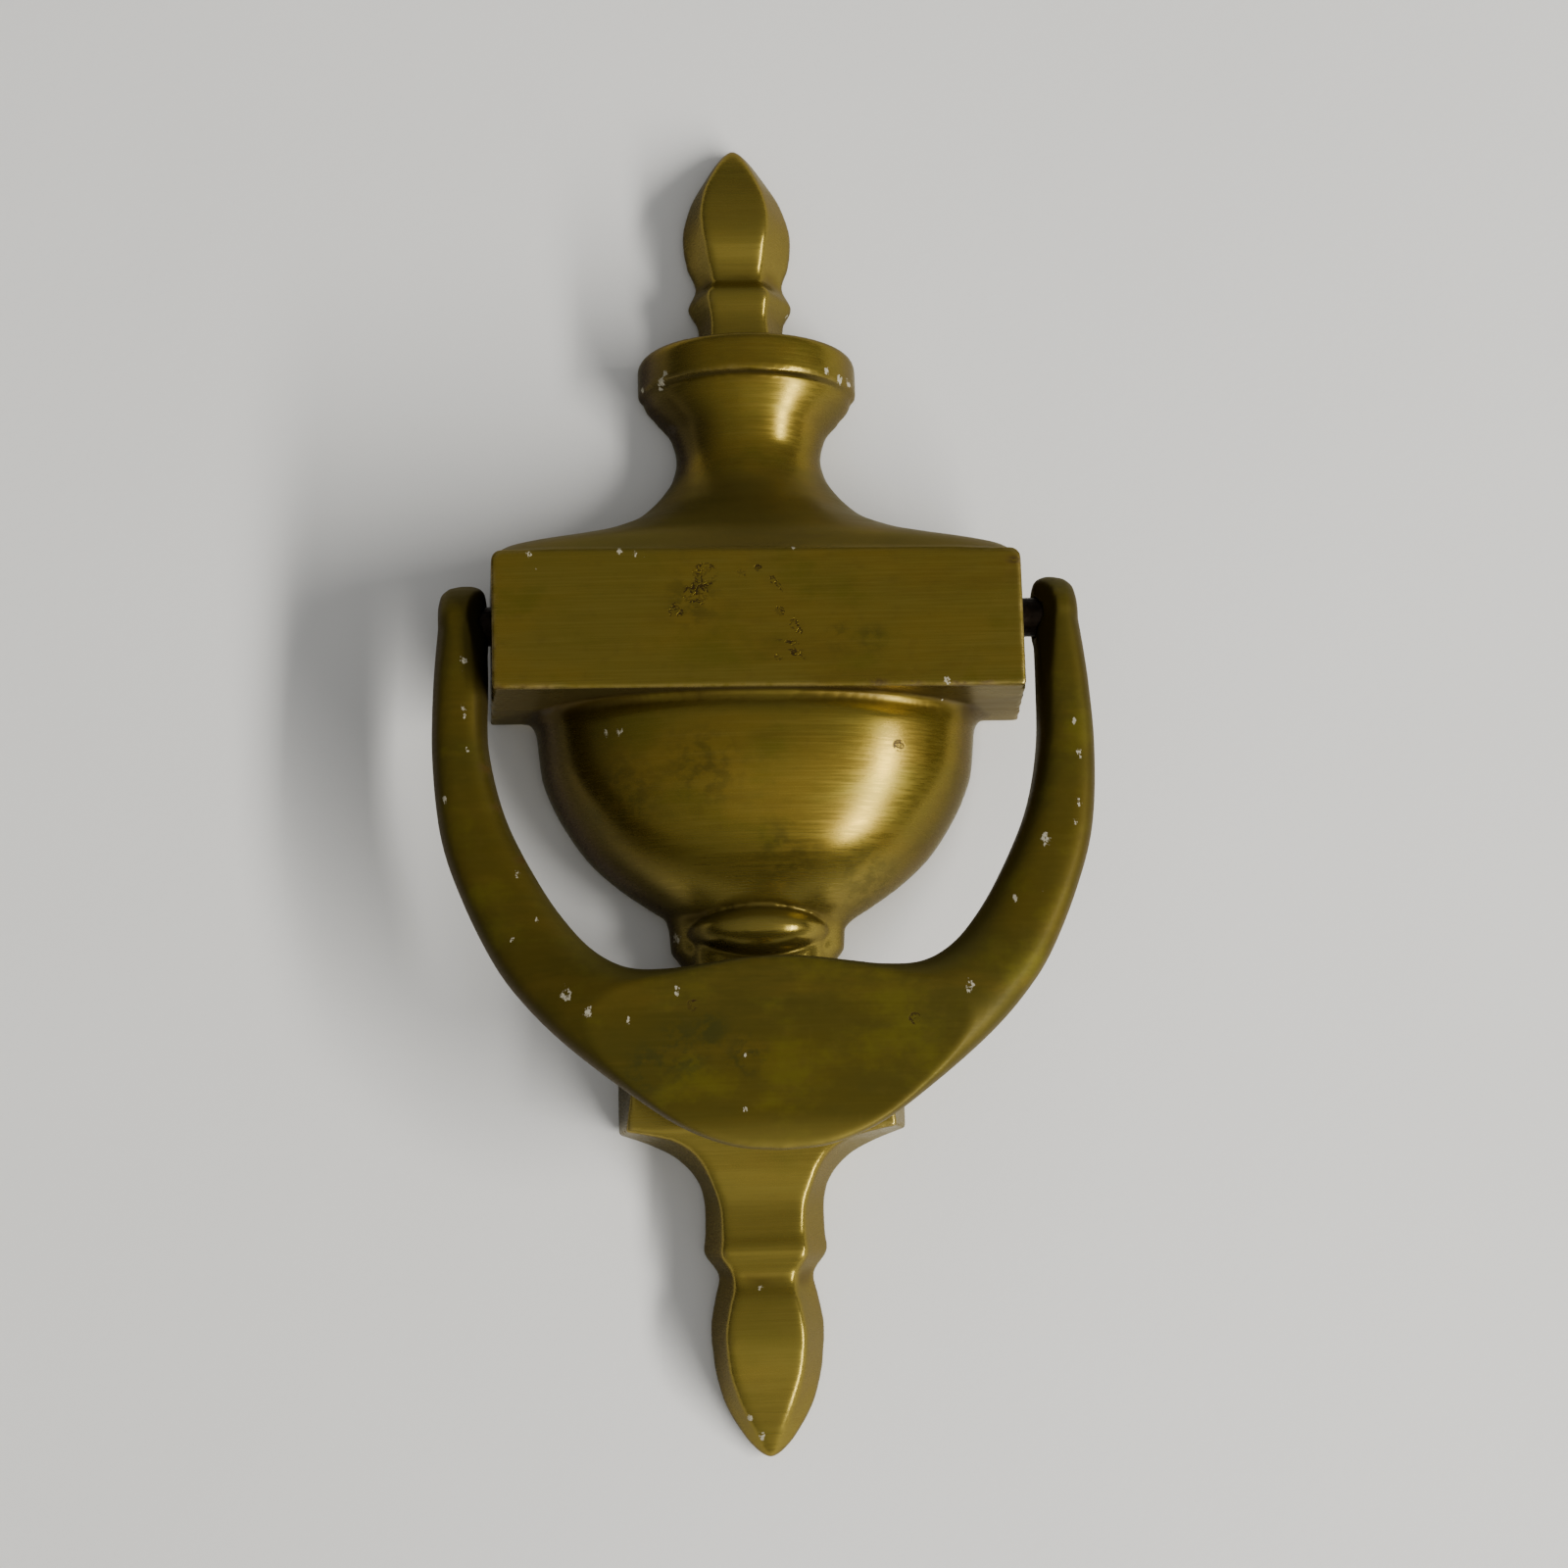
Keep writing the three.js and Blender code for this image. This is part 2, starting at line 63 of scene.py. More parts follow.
PIVOT = Vector(frame["joints"][0]["pos_m"]) / MM
PIVOT_BORE = 3.07  # radius of the bores for the pivot screws, in the ends of the box
SCREW_HOLE = 3.05  # radius of the holes for them in the ears
STUD_HOLE = 2.4  # radius of the holes that the studs sit in
STUD_LEVEL = -17
WALL = 3.2  # thickness of the hollow urn
BACK_EDGE = 1.4  # height of the upright edge that the facets start from
COLLAR_BOTTOM, COLLAR_TOP = 89.6, 95.9
FINIAL_LEAN = -0.02  # sideways per unit of height, of the upper finial
HANDLE_LEAN = 0.012  # and of the handle
FACET_SHIFT = -0.5  # the front facets were filed this far off the middle
URN_SHIFT, URN_SKEW = 0.6, -0.011  # the urn sits to the right of the finials and drops to the right
BOX_BOTTOM, BOX_TOP, BOX_FRONT = 38.5, 59.5, 25
BOX_DROP = 0.7  # the box's underside is this much lower at the back
BOX_CORNER = 1.6  # radius of its worn upper corners
BOLT_BOSSES = ((62, 17), (-18, 11))  # level of each boss, and how far forward it runs
BOSS_RADIUS, BOLT_RADIUS, BOLT_DEPTH = 5.5, 2.5, 10


# ---- Curves ----


def through(points):
    """A smooth curve through (position, value) points that never overshoots them."""
    at, value = (np.array(column, float) for column in zip(*points))
    slope = np.diff(value) / np.diff(at)
    before, after = np.r_[slope[:1], slope], np.r_[slope, slope[-1:]]
    rising = before * after > 0
    tangent = np.where(rising, 2 * before * after / np.where(rising, before + after, 1), 0)

    def curve(position):
        i = np.clip(np.searchsorted(at, position, "right") - 1, 0, len(slope) - 1)
        span, rise = at[i + 1] - at[i], value[i + 1] - value[i]
        s = np.clip((position - at[i]) / span, 0, 1)
        bend = (1 - s) * (tangent[i] * span - rise) - s * (tangent[i + 1] * span - rise)
        return value[i] + rise * s + s * (1 - s) * bend

    return curve


def squared(value, power):
    """Pulls a point of the unit circle out towards the unit square. Power 2 keeps the circle."""
    return np.sign(value) * np.abs(value) ** (2 / power)


def smooth_step(value, low, high):
    t = np.clip((value - low) / (high - low), 0, 1)
    return t * t * (3 - 2 * t)


def always(value):
    return lambda z: value + 0 * z


def on_finials(points):
    """1 on the finials and 0 on the urn between them, for points in metres."""
    return smooth_step(np.abs(points[:, 2] / MM - URN_MIDDLE), FINIALS_FROM, FINIALS_FULLY)


# ---- Meshes ----


def linked(name, mesh):
    made = bpy.data.objects.new(name, mesh)
    bpy.context.scene.collection.objects.link(made)
    return made


def spread(mesh, value, passes):
    """Averages a value per vertex with its neighbours, several times over."""
    edges = np.zeros(len(mesh.edges) * 2, int)
    mesh.edges.foreach_get("vertices", edges)
    a, b = edges.reshape(-1, 2).T
    ends, others = np.r_[a, b], np.r_[b, a]
    count = np.maximum(np.bincount(ends, minlength=len(mesh.vertices)), 1)
    value = np.asarray(value, float)
    for _ in range(passes):
        columns = value.reshape(len(value), -1).T
        value = np.stack([np.bincount(ends, c[others], len(value)) / count for c in columns], -1)
    return value


def points_of(mesh):
    found = np.zeros(len(mesh.vertices) * 3)
    mesh.vertices.foreach_get("co", found)
    return found.reshape(-1, 3)


def normals_of(mesh):
    found = np.zeros(len(mesh.vertices) * 3, np.float32)
    mesh.vertex_normals.foreach_get("vector", found)
    return found.reshape(-1, 3).astype(float)


def closed_form(rings):
    """A closed mesh over rings of matching points, (level, point, xyz) in millimetres."""
    levels, count = rings.shape[:2]
    index = np.arange(levels * count).reshape(levels, count)
    onward = np.roll(index, -1, 1)
    quads = np.stack([index[:-1], onward[:-1], onward[1:], index[1:]], -1).reshape(-1, 4)
    faces = [tuple(q) for q in quads.tolist()]
    faces += [tuple(index[0][::-1].tolist()), tuple(index[-1].tolist())]
    mesh = bpy.data.meshes.new("form")
    mesh.from_pydata((rings.reshape(-1, 3) * MM).tolist(), [], faces)
    shape = bmesh.new()
    shape.from_mesh(mesh)
    bmesh.ops.recalc_face_normals(shape, faces=shape.faces)
    if shape.calc_volume(signed=True) < 0:
        bmesh.ops.reverse_faces(shape, faces=shape.faces)
    shape.to_mesh(mesh)
    shape.free()
    return linked("form", mesh)


def settle(obj):
    """Turns an object's modifiers into its mesh."""
    graph = bpy.context.evaluated_depsgraph_get()
    mesh = bpy.data.meshes.new_from_object(obj.evaluated_get(graph))
    obj.modifiers.clear()
    obj.data = mesh
    return obj


def combine(target, operation, *tools):
    for tool in tools:
        step = target.modifiers.new("combine", "BOOLEAN")
        step.operation = operation
        step.solver = "MANIFOLD"
        step.object = tool
        settle(target)
        bpy.data.objects.remove(tool)
    return target


def soften(obj):
    """Gives a cast piece an even fine mesh with worn edges, rounder on its finials."""
    remesh = obj.modifiers.new("remesh", "REMESH")
    remesh.mode = "VOXEL"
    remesh.voxel_size = VOXEL * MM
    settle(obj)
    mesh = obj.data
    points = points_of(mesh)
    finials = on_finials(points)[:, None]
    for i in range(FINIAL_SOFTENING):
        share = 1.0 if i < SOFTENING else finials
        points += share * (spread(mesh, points, 1) - points) / 2
    mesh.vertices.foreach_set("co", points.ravel())
    mesh.update()
    mesh.polygons.foreach_set("use_smooth", [True] * len(mesh.polygons))
    return obj


def lighten(obj):
    """Thins a heavy mesh out where it is flat and unmarked, down to the budget."""
    mesh = obj.data
    triangles = sum(len(p.vertices) - 2 for p in mesh.polygons)
    if triangles > BUDGET:
        marks = np.zeros((len(MARKS), len(mesh.vertices)), np.float32)
        for row, name in zip(marks, MARKS):
            mesh.attributes[name].data.foreach_get("value", row)
        plain = obj.vertex_groups.new(name="plain")
        plain.add(np.flatnonzero(marks.max(0) <= 0).tolist(), 1.0, "REPLACE")
        thin = obj.modifiers.new("thin", "DECIMATE")
        thin.ratio = BUDGET / triangles
        thin.vertex_group = plain.name
        settle(obj)
        obj.vertex_groups.clear()
        obj.data.polygons.foreach_set("use_smooth", [True] * len(obj.data.polygons))
    return obj


def levels(start, end, spacing=SECTION_SPACING):
    return np.linspace(start, end, max(3, int(abs(end - start) / spacing)))


def rounded_form(start, end, half_width, height, power, inset=0.0, spacing=SECTION_SPACING):
    """A form with a flat back and a rounded front. A hollow is the same form, drawn in by the wall."""
    z = levels(start, end, spacing)[:, None]
    angle = np.linspace(0, math.pi, SECTION_POINTS)[None, :]
    n = power(z)
    x = squared(np.cos(angle), n) * (half_width(z) - inset)
    forward = squared(np.maximum(np.sin(angle), 0), n) * (height(z) - inset)
    forward[:, [0, -1]] = -1.0 if inset else 0.0
    return closed_form(np.stack(np.broadcast_arrays(x, -forward, z), -1))


def block(bottom, top, back, front, back_half, front_half, drop=0.0, corner=0.0):
    """A drafted block, whose underside may drop towards the back. Its upper corners may be round."""
    angle = np.linspace(0, math.pi / 2, 8) if corner else np.zeros(1)
    tops = [(top - corner * (1 - math.sin(a)), corner * (1 - math.cos(a))) for a in angle]
    rings = []
    for z, narrower in [(bottom, 0.0), *tops]:
        low = drop if z == bottom else 0.0
        behind, ahead = back_half - narrower, front_half - narrower
        at_back = [(-behind, -back, z - low), (behind, -back, z - low)]
        rings.append([*at_back, (ahead, -front, z), (-ahead, -front, z)])
    return closed_form(np.array(rings, float))


def circles(points):
    """The two coordinates of the points of each circle, and its place, for (radius, place) points."""
    angle = np.linspace(0, 2 * math.pi, TURNED_SIDES, endpoint=False)
    for radius, place in points:
        radius = max(radius, SMALLEST_RADIUS)
        yield radius * np.cos(angle), radius * np.sin(angle), place


def pin(radius, start, end):
    """The outline of a plain cylinder, as (radius, place) points."""
    return [(0, start), (radius, start), (radius, end), (0, end)]


def turned(points, x, z):
    """A turned form about a line through the knocker from back to front: (radius, height) points."""
    rings = [(x + a, np.full(TURNED_SIDES, -height), z + b) for a, b, height in circles(points)]
    return closed_form(np.array([np.stack(ring, -1) for ring in rings]))


def across(points):
    """A turned form about the pivot axis: (radius, x) points."""
    rings = [(np.full(TURNED_SIDES, x), PIVOT.y + a, PIVOT.z + b) for a, b, x in circles(points)]
    return closed_form(np.array([np.stack(ring, -1) for ring in rings]))


# ---- The body casting ----

NECK = {
    "half_width": through([
        (59.4, 39.1), (61, 38.9), (62.4, 36.6), (63.6, 32.3), (64.8, 27.6), (66.3, 23.6),
        (68.3, 19.6), (70.6, 16.8), (73.3, 14.2), (76.6, 12.1), (79.7, 11.4), (83, 12.1),
        (86, 14.4), (88.3, 16.2), (89.9, 16.6),
    ]),
    "height": through([
        (59.4, 24.7), (60.4, 23.9), (63, 21.8), (67, 18.1), (71, 15), (75, 12.9), (79.7, 12),
        (83, 12.7), (86, 13.9), (89.9, 15.7),
    ]),
    "power": through([
        (59.4, 12), (61, 8), (62.6, 5), (63.8, 3.8), (66, 2.9), (71, 2.1), (79, 2), (89.9, 2),
    ]),
}
BOWL = {
    "half_width": through([
        (5.2, 12.6), (6.6, 14), (8.4, 16.8), (12, 21.9), (16, 26.2), (21, 29.7), (25, 31.8),
        (29, 33.2), (34, 33.8), (35.8, 34), (37.4, 34.7), (38.6, 36.8),
    ]),
    "height": through([
        (5.2, 9.4), (6.6, 10.6), (8.4, 12.4), (12, 15.6), (16, 18.4), (21, 21.1), (26, 23),
        (31, 24), (34.6, 24.2), (36, 23.9), (37.2, 23.3), (38.6, 23.5),
    ]),
    "power": always(2.2),
}
UPPER_FINIAL = {
    "back": through([
        (95, 7.2), (101.2, 6.7), (104.4, 8.2), (104.9, 8.4), (105.4, 8.2), (108.3, 6.9),
        (112, 8.2), (116.4, 8.7), (121.5, 7.5), (126.6, 4.6), (130.2, 2), (131.4, 0.5),
    ]),
    "front": through([
        (95, 4.6), (101, 4.1), (104.9, 4.5), (108.3, 3.5), (112, 4.2), (118.5, 5), (123, 4.3),
        (127.5, 2.6), (130.4, 1), (131.4, 0.3),
    ]),
    "height": through([
        (95, 8.4), (101, 8.3), (104.9, 9.1), (108.3, 6.9), (110, 7.2), (115, 8.8), (115.6, 8.75),
        (121.5, 7.4), (127, 5), (130.4, 3), (131.4, 2.2),
    ]),
}
LOWER_FINIAL = {
    "back": through([
        (-73.3, 0.5), (-72.4, 1.9), (-69.4, 4.4), (-64.7, 6.9), (-59, 8.2), (-54.4, 8.5),
        (-50, 7.8), (-46.8, 7.1), (-43.5, 9.2), (-42.9, 9.4), (-41, 9.1), (-37, 9), (-34, 9.4),
        (-31.6, 10.6), (-29, 13.2), (-27, 17), (-25.3, 21.6),
    ]),
    "front": through([
        (-73.3, 0.3), (-71.6, 0.9), (-68.5, 2.3), (-64.5, 4), (-60, 5.3), (-55.5, 5.7),
        (-51.5, 5.1), (-47.6, 4.2), (-43.4, 6.2), (-41, 5.9), (-37.5, 6), (-33, 7.4), (-29.5, 9.2),
        (-27, 12.5), (-25.3, 19.6),
    ]),
    "height": through([
        (-73.3, 2), (-71.5, 3.2), (-68, 5.3), (-64, 7.1), (-59, 8.6), (-55, 9.1), (-50.5, 8.7),
        (-47, 7.6), (-43, 9.7), (-40.5, 9.1), (-37, 8.9), (-32.5, 9.7), (-29, 11.1), (-25.3, 13),
    ]),
}


def faceted_form(start, end, table, lean=0.0):
    """A flat-fronted form with slanted sides, from a short upright edge at the back."""
    z = levels(start, end)
    back, front, height = table["back"](z), table["front"](z), table["height"](z)
    aside = lean * (z - COLLAR_TOP)
    filed = aside + FACET_SHIFT * np.minimum(1, front / 4)
    edge = np.minimum(BACK_EDGE, height / 2)
    spots = [(aside - back, 0 * z), (aside + back, 0 * z), (aside + back, edge)]
    spots += [(filed + front, height), (filed - front, height), (aside - back, edge)]
    return closed_form(np.stack([np.stack([x, -forward, z], -1) for x, forward in spots], 1))


def collar():
    cut_back = through([(0, 0.3), (0.04, 0.1), (0.1, 0), (0.8, 0), (0.9, 0.2), (1, 0.8)])
    reach = lambda z: 17.3 - cut_back((z - COLLAR_BOTTOM) / (COLLAR_TOP - COLLAR_BOTTOM))
    return rounded_form(COLLAR_BOTTOM, COLLAR_TOP, reach, reach, always(2))


def foot():
    """A web that narrows from the bowl into the stem, with an oval bead across its front."""
    width = through([(-2, 10.7), (0.4, 12), (2.2, 13.3), (5, 13.5), (7.9, 14.2)])
    height = through([(-2, 9.6), (2.2, 9.4), (7.9, 10.4)])
    web = rounded_form(-2, 7.9, width, height, always(2.3))
    middle, half = 4.5, 4.2
    roundness = lambda z: np.sqrt(np.maximum(0.02, 1 - ((z - middle) / half) ** 2))
    bead_width = lambda z: 11.8 * roundness(z) ** 0.8
    bead_height = lambda z: 8 + 6.2 * roundness(z)
    bead = rounded_form(
        middle - half, middle + half, bead_width, bead_height, always(2.2), spacing=0.2,
    )
    return combine(web, "UNION", bead)


def stem():
    width = through([(-10, 12.5), (-5, 10.5), (4, 11)])
    height = through([(-10, 11), (-5, 9.5), (4, 10.5)])
    return rounded_form(-10, 4, width, height, always(3.2))


def pedestal():
    bottom, top = -25.5, -9
    front = through([(bottom, 19.9), (top, 17.6)])
    return faceted_form(bottom, top, {"back": always(21.7), "front": front, "height": always(13)})


def neck(start, end, inset=0.0):
    return rounded_form(start, end, NECK["half_width"], NECK["height"], NECK["power"], inset)


def bowl(start, end, inset=0.0):
    return rounded_form(start, end, BOWL["half_width"], BOWL["height"], BOWL["power"], inset)


def skewed(urn):
    """Sets the urn, from the bowl to the collar, where the casting has it between the finials."""
    shear = Matrix.Identity(4)
    shear[0][3] = URN_SHIFT * MM
    shear[2][0] = URN_SKEW
    urn.data.transform(shear)
    return urn


def body_casting():
    box = block(BOX_BOTTOM, BOX_TOP, 0, BOX_FRONT, 41.1, 39.2, BOX_DROP, BOX_CORNER)
    urn = skewed(combine(box, "UNION", neck(59.4, 89.9), bowl(5.2, 38.6), collar()))
    upper_finial = faceted_form(95, 131.4, UPPER_FINIAL, FINIAL_LEAN)
    lower_finial = faceted_form(-73.3, -25.3, LOWER_FINIAL)
    whole = combine(urn, "UNION", foot(), stem(), upper_finial, pedestal(), lower_finial)
    box_hollow = block(BOX_BOTTOM + WALL, BOX_TOP - WALL, -1, BOX_FRONT - WALL, 36.6, 36.6)
    hollows = [skewed(tool) for tool in (box_hollow, neck(56, 86, WALL), bowl(12, 44, WALL))]
    pedestal_hollow = block(-22.3, -12.2, -1, 9.8, 14.4, 14.4)
    combine(whole, "DIFFERENCE", *hollows, pedestal_hollow)
    for level, front in BOLT_BOSSES:
        bolt_hole = [(0, -1), (BOLT_RADIUS, -1), (BOLT_RADIUS, BOLT_DEPTH), (0, BOLT_DEPTH + 1)]
        combine(whole, "UNION", turned(pin(BOSS_RADIUS, 0, front), 0, level))
        combine(whole, "DIFFERENCE", turned(bolt_hole, 0, level))
    for side in (1, -1):
        combine(whole, "DIFFERENCE", across(pin(PIVOT_BORE, side * 30, side * 45)))
    return combine(whole, "DIFFERENCE", turned(pin(STUD_HOLE, 7.5, 14), 0, STUD_LEVEL))


# ---- The handle ----

# (x, z) of the inner and the outer edge, from the pivot round to the middle of the lens
EDGE_PAIRS = (
    ((41.7, 50.5), (48.1, 50.5)), ((41.5, 40), (49, 40)), ((40.8, 30), (49.2, 29)),
    ((38.3, 20), (48, 17.5)), ((33.4, 10), (44.9, 8)), ((28.9, 3.4), (40.5, -1.2)),
    ((25, -0.4), (36.2, -7.2)), ((20.8, -2.4), (30.6, -13)), ((15.5, -2.7), (22.8, -19.4)),
    ((10, -2.1), (14.5, -25.2)), ((5, -1.5), (7, -28.2)), ((0, -1.3), (0, -28.9)),
)
LENS_BACK, LENS_FRONT = 21.2, 29
HANDLE_BACK = through([
    (0, 9.2), (0.18, 11.5), (0.36, 14.6), (0.5, 17.8), (0.64, 20.2), (0.75, LENS_BACK),
    (1, LENS_BACK),
])
HANDLE_FRONT = through([
    (0, 20.9), (0.18, 22), (0.36, 24.3), (0.5, 26.8), (0.62, 28.8), (0.72, 30), (1, 31),
])
HANDLE_POWER = through([(0, 2.6), (0.1, 3.2), (0.3, 3.4), (0.5, 2.9), (0.66, 3), (0.8, 4.2), (1, 6)])
BEVEL_WIDTH = {1: 2.6, -1: 1.7}  # of the flat filed along the inside of each arm's upper end
BEVEL_FADE = {1: 32.5, -1: 36.5}  # level where that flat has run out
BEVEL_SLOPE = 1.6
EAR_OUTER = 48.1
EAR_INNER = {1: 41.7, -1: 41.0}  # inner face of each ear, closer to the box on the left


def spline(points, t):
    """An even Catmull-Rom spline through the points."""
    points = np.array(points, float)
    place = t * (len(points) - 1)
    i = np.clip(place.astype(int), 0, len(points) - 2)
    s = (place - i)[:, None]
    before, a, b = points[np.maximum(i - 1, 0)], points[i], points[i + 1]
    after = points[np.minimum(i + 2, len(points) - 1)]
    start, end = (b - before) / 2, (after - a) / 2
    return (2 * (a - b) + start + end) * s**3 + (3 * (b - a) - 2 * start - end) * s**2 + start * s + a


def handle_half(side):
    """One half of the handle, from the ear to the middle, with a flat facet filed on its front."""
    t = np.linspace(0, 1, 160)
    inner, outer = (spline([pair[edge] for pair in EDGE_PAIRS], t)[:, None, :] for edge in (0, 1))
    nearer = EAR_INNER[side] - EAR_INNER[1]
    inner[..., 0] += nearer * (1 - smooth_step(t, 0.05, 0.17))[:, None]
    n = HANDLE_POWER(t)[:, None]
    angle = np.linspace(0, 2 * math.pi, SECTION_POINTS, endpoint=False)[None, :]
    outward = squared(np.cos(angle), n)[..., None] / 2 + 0.5
    spot = inner + (outer - inner) * outward
    back, front = HANDLE_BACK(t)[:, None], HANDLE_FRONT(t)[:, None]
    forward = squared(np.sin(angle), n) / 2 + 0.5
    height = np.minimum(back + (front - back) * forward, LENS_FRONT)
    return closed_form(np.stack([side * spot[..., 0], -height, spot[..., 1]], -1))


def bevel(side):
    """The wedge that files a flat along the inner front edge of an arm, widest at the ear."""
    fade, ear_level, top, overrun = BEVEL_FADE[side], 51, 60, 4
    width = through([(fade, 0), (fade + 4, 0.5), (fade + 11, 0.85), (ear_level, 1), (top, 1)])
    rings = []
    for z in np.linspace(fade, top, 40):
        below = ear_level - min(z, ear_level)
        inner, front = EAR_INNER[1] - 0.05 * below, 20.9 + 0.06 * below
        reach = BEVEL_WIDTH[side] * float(width(z))
        start = (inner - 1, front - BEVEL_SLOPE * (reach + 1))
        end = (inner + reach + overrun / BEVEL_SLOPE, front + overrun)
        corners = (start, (inner - 1, front + overrun), end)
        rings.append([(side * x, -height, z) for x, height in corners])
    return closed_form(np.array(rings))


def ear(side):
    """The rounded end of an arm, about the pivot axis."""
    inner = EAR_INNER[side]
    rim = [(0, inner), (4.5, inner), (5.3, inner + 0.3), (5.8, inner + 0.9), (6.1, inner + 2)]
    rim += [(6.1, 44.6), (5.8, 46.3), (4.9, 47.5), (3.4, 48), (0, EAR_OUTER)]
    return across([(r, side * x) for r, x in rim])


def handle_casting():
    whole = combine(handle_half(1), "UNION", ear(1), handle_half(-1), ear(-1))
    for side in (1, -1):
        combine(whole, "DIFFERENCE", bevel(side), across(pin(SCREW_HOLE, side * 39, side * 46.1)))
    return combine(whole, "DIFFERENCE", turned(pin(STUD_HOLE, 20, 25.7), 0, STUD_LEVEL))


def place_handle(obj):
    """Leans the handle as the casting does, and sets it where the model has it."""
    low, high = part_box("handle_casting")
    lean = Matrix.Identity(4)
    lean[0][2] = -HANDLE_LEAN
    lean[0][3] = HANDLE_LEAN * PIVOT.z * MM
    obj.data.transform(lean)
    reach = max(v.co.x for v in obj.data.vertices)
    obj.data.transform(Matrix.Translation((high.x - reach, 0, 0)))
    return obj


# ---- Wear, painted shade and painted light ----

PAINT_STRETCH = 1.5  # flecks of paint are this much longer than they are wide
GRIME_STRETCH = 0.5  # and grime lies along the edges that run across
LIT_FOOT_LEVELS = (9, 17)  # painted light brightens the bowl from the upper of these levels down to the lower
INNER_SHADE_LEVELS = (22, 38)  # levels between which painted shade darkens the arms' inner sides
OUTER_SHADE_LEVELS = (0, 20)  # and those between which painted shade darkens the right side of the right arm, more faintly


def keep(mesh, name, value):
    """Stores a value per vertex for the materials to read."""
    values = np.asarray(value, np.float32).ravel()
    mesh.attributes.new(name, "FLOAT", "POINT").data.foreach_set("value", values)


def near(points, spots, stretch=1.0):
    """How close each point is to any of the (x, z, radius) spots, from 0 to 1, seen from the front."""
    found = np.zeros(len(points))
    for x, z, radius in spots:
        away = np.hypot(points[:, 0] - x, (points[:, 2] - z) / stretch) / radius
        found = np.maximum(found, 1 - smooth_step(away, 0.2, 1.0))
    return found


def weather(obj, paint, stains, pits, grime, is_handle=False):
    """Marks worn edges, dirty corners, painted shade on the sides turned from the light, a painted reflection on
    sideways-facing surfaces, upward-facing surfaces, brighter brass with painted light on the lower bowl, and the
    spots of paint, stain, pitting and grime.
    """
    mesh = obj.data
    points, normals = points_of(mesh), normals_of(mesh)
    at, level = points / MM, points[:, 2] / MM
    bulge = -((spread(mesh, points, 1) - points) * normals).sum(1) / MM
    fine, broad = spread(mesh, bulge, 2)[:, 0], spread(mesh, bulge, 14)[:, 0]
    keep(mesh, "edge", smooth_step(fine, 0.012, 0.05))
    keep(mesh, "crevice", smooth_step(-broad, 0.0015, 0.012))
    # painted reflection: surfaces that face sideways are marked for the dull taupe of the pale paper they reflect
    keep(mesh, "side", smooth_step(1 - np.abs(normals[:, 1]), 0.25, 0.75))
    on_urn = 1 - on_finials(points)
    # painted shade: surfaces turned away from the window, to the left and downwards, are darkened
    painted_shade = smooth_step(-0.85 * normals[:, 0] - 0.3 * normals[:, 2], 0.3, 0.75) * on_urn
    # painted light: the bowl's lower part is brightened
    foot = smooth_step(-level, -LIT_FOOT_LEVELS[1], -LIT_FOOT_LEVELS[0]) * on_urn
    if is_handle:
        inward = smooth_step(-normals[:, 0] * np.sign(points[:, 0]), 0.3, 0.6)
        outward = smooth_step(normals[:, 0], 0.15, 0.6)
        # painted shade on the inner sides of the arms near the ears, where the box shades them, and faintly on
        # right-facing sides low down
        painted_shade = np.maximum(painted_shade, inward * smooth_step(level, *INNER_SHADE_LEVELS))
        painted_shade = np.maximum(painted_shade, 0.45 * outward * smooth_step(level, *OUTER_SHADE_LEVELS))
        foot = 0 * foot
    keep(mesh, "painted_shade", painted_shade)
    # upward-facing surfaces of the urn, which are tinted a duller tone and made rougher
    keep(mesh, "top", smooth_step(normals[:, 2], 0.2, 0.7) * on_urn)
    # brighter brass: a plain lighter tone on the finials, and painted light on the bowl's lower part
    keep(mesh, "brightened", 0.4 * (1 - on_urn) + 0.9 * foot)
    front = smooth_step(-normals[:, 1], 0.05, 0.3)
    keep(mesh, "paint", near(at, paint, PAINT_STRETCH) * front)
    keep(mesh, "stain", near(at, stains) * front)
    keep(mesh, "pit", near(at, pits) * front)
    keep(mesh, "grime", near(at, grime, GRIME_STRETCH) * front)
    return obj


# ---- Materials ----


# Colours are linear red, green, blue and alpha.
OLIVE_TARNISH = (0.11, 0.094, 0.006, 1)
BROWN_MOTTLE = (0.1, 0.07, 0.01, 1)
BRIGHT_BRUSHING = (0.3, 0.23, 0.06, 1)
BROWN_SMEAR = (0.11, 0.072, 0.008, 1)
# brighter brass: a plain lighter tone for the finials, and painted light for the bowl's lower part
BRIGHTENED_BRASS = (0.27, 0.205, 0.036, 1)
# painted reflection: the dull taupe of the pale paper, seen on sideways-facing surfaces
PAINTED_SIDE_REFLECTION = (0.11, 0.088, 0.038, 1)
# tone for the upward-facing surfaces of the urn
UPWARD_TONE = (0.1, 0.086, 0.022, 1)
# painted shade for the sides turned away from the light
PAINTED_SHADE_TONE = (0.03, 0.021, 0.003, 1)
CORNER_GRIME = (0.045, 0.026, 0.004, 1)
WORN_EDGE = (0.42, 0.32, 0.11, 1)
BLACK_STAIN = (0.028, 0.03, 0.005, 1)
PIT_BROWN = (0.035, 0.02, 0.005, 1)
OLD_PAINT = (0.4, 0.37, 0.27, 1)
EDGE_TINT = (0.45, 0.4, 0.24, 1)  # of the metal's mirror image seen at a flat angle
BRUSH_DEPTH, GRAIN_DEPTH, MARK_DEPTH = 0.000012, 0.00001, 0.00005  # metres


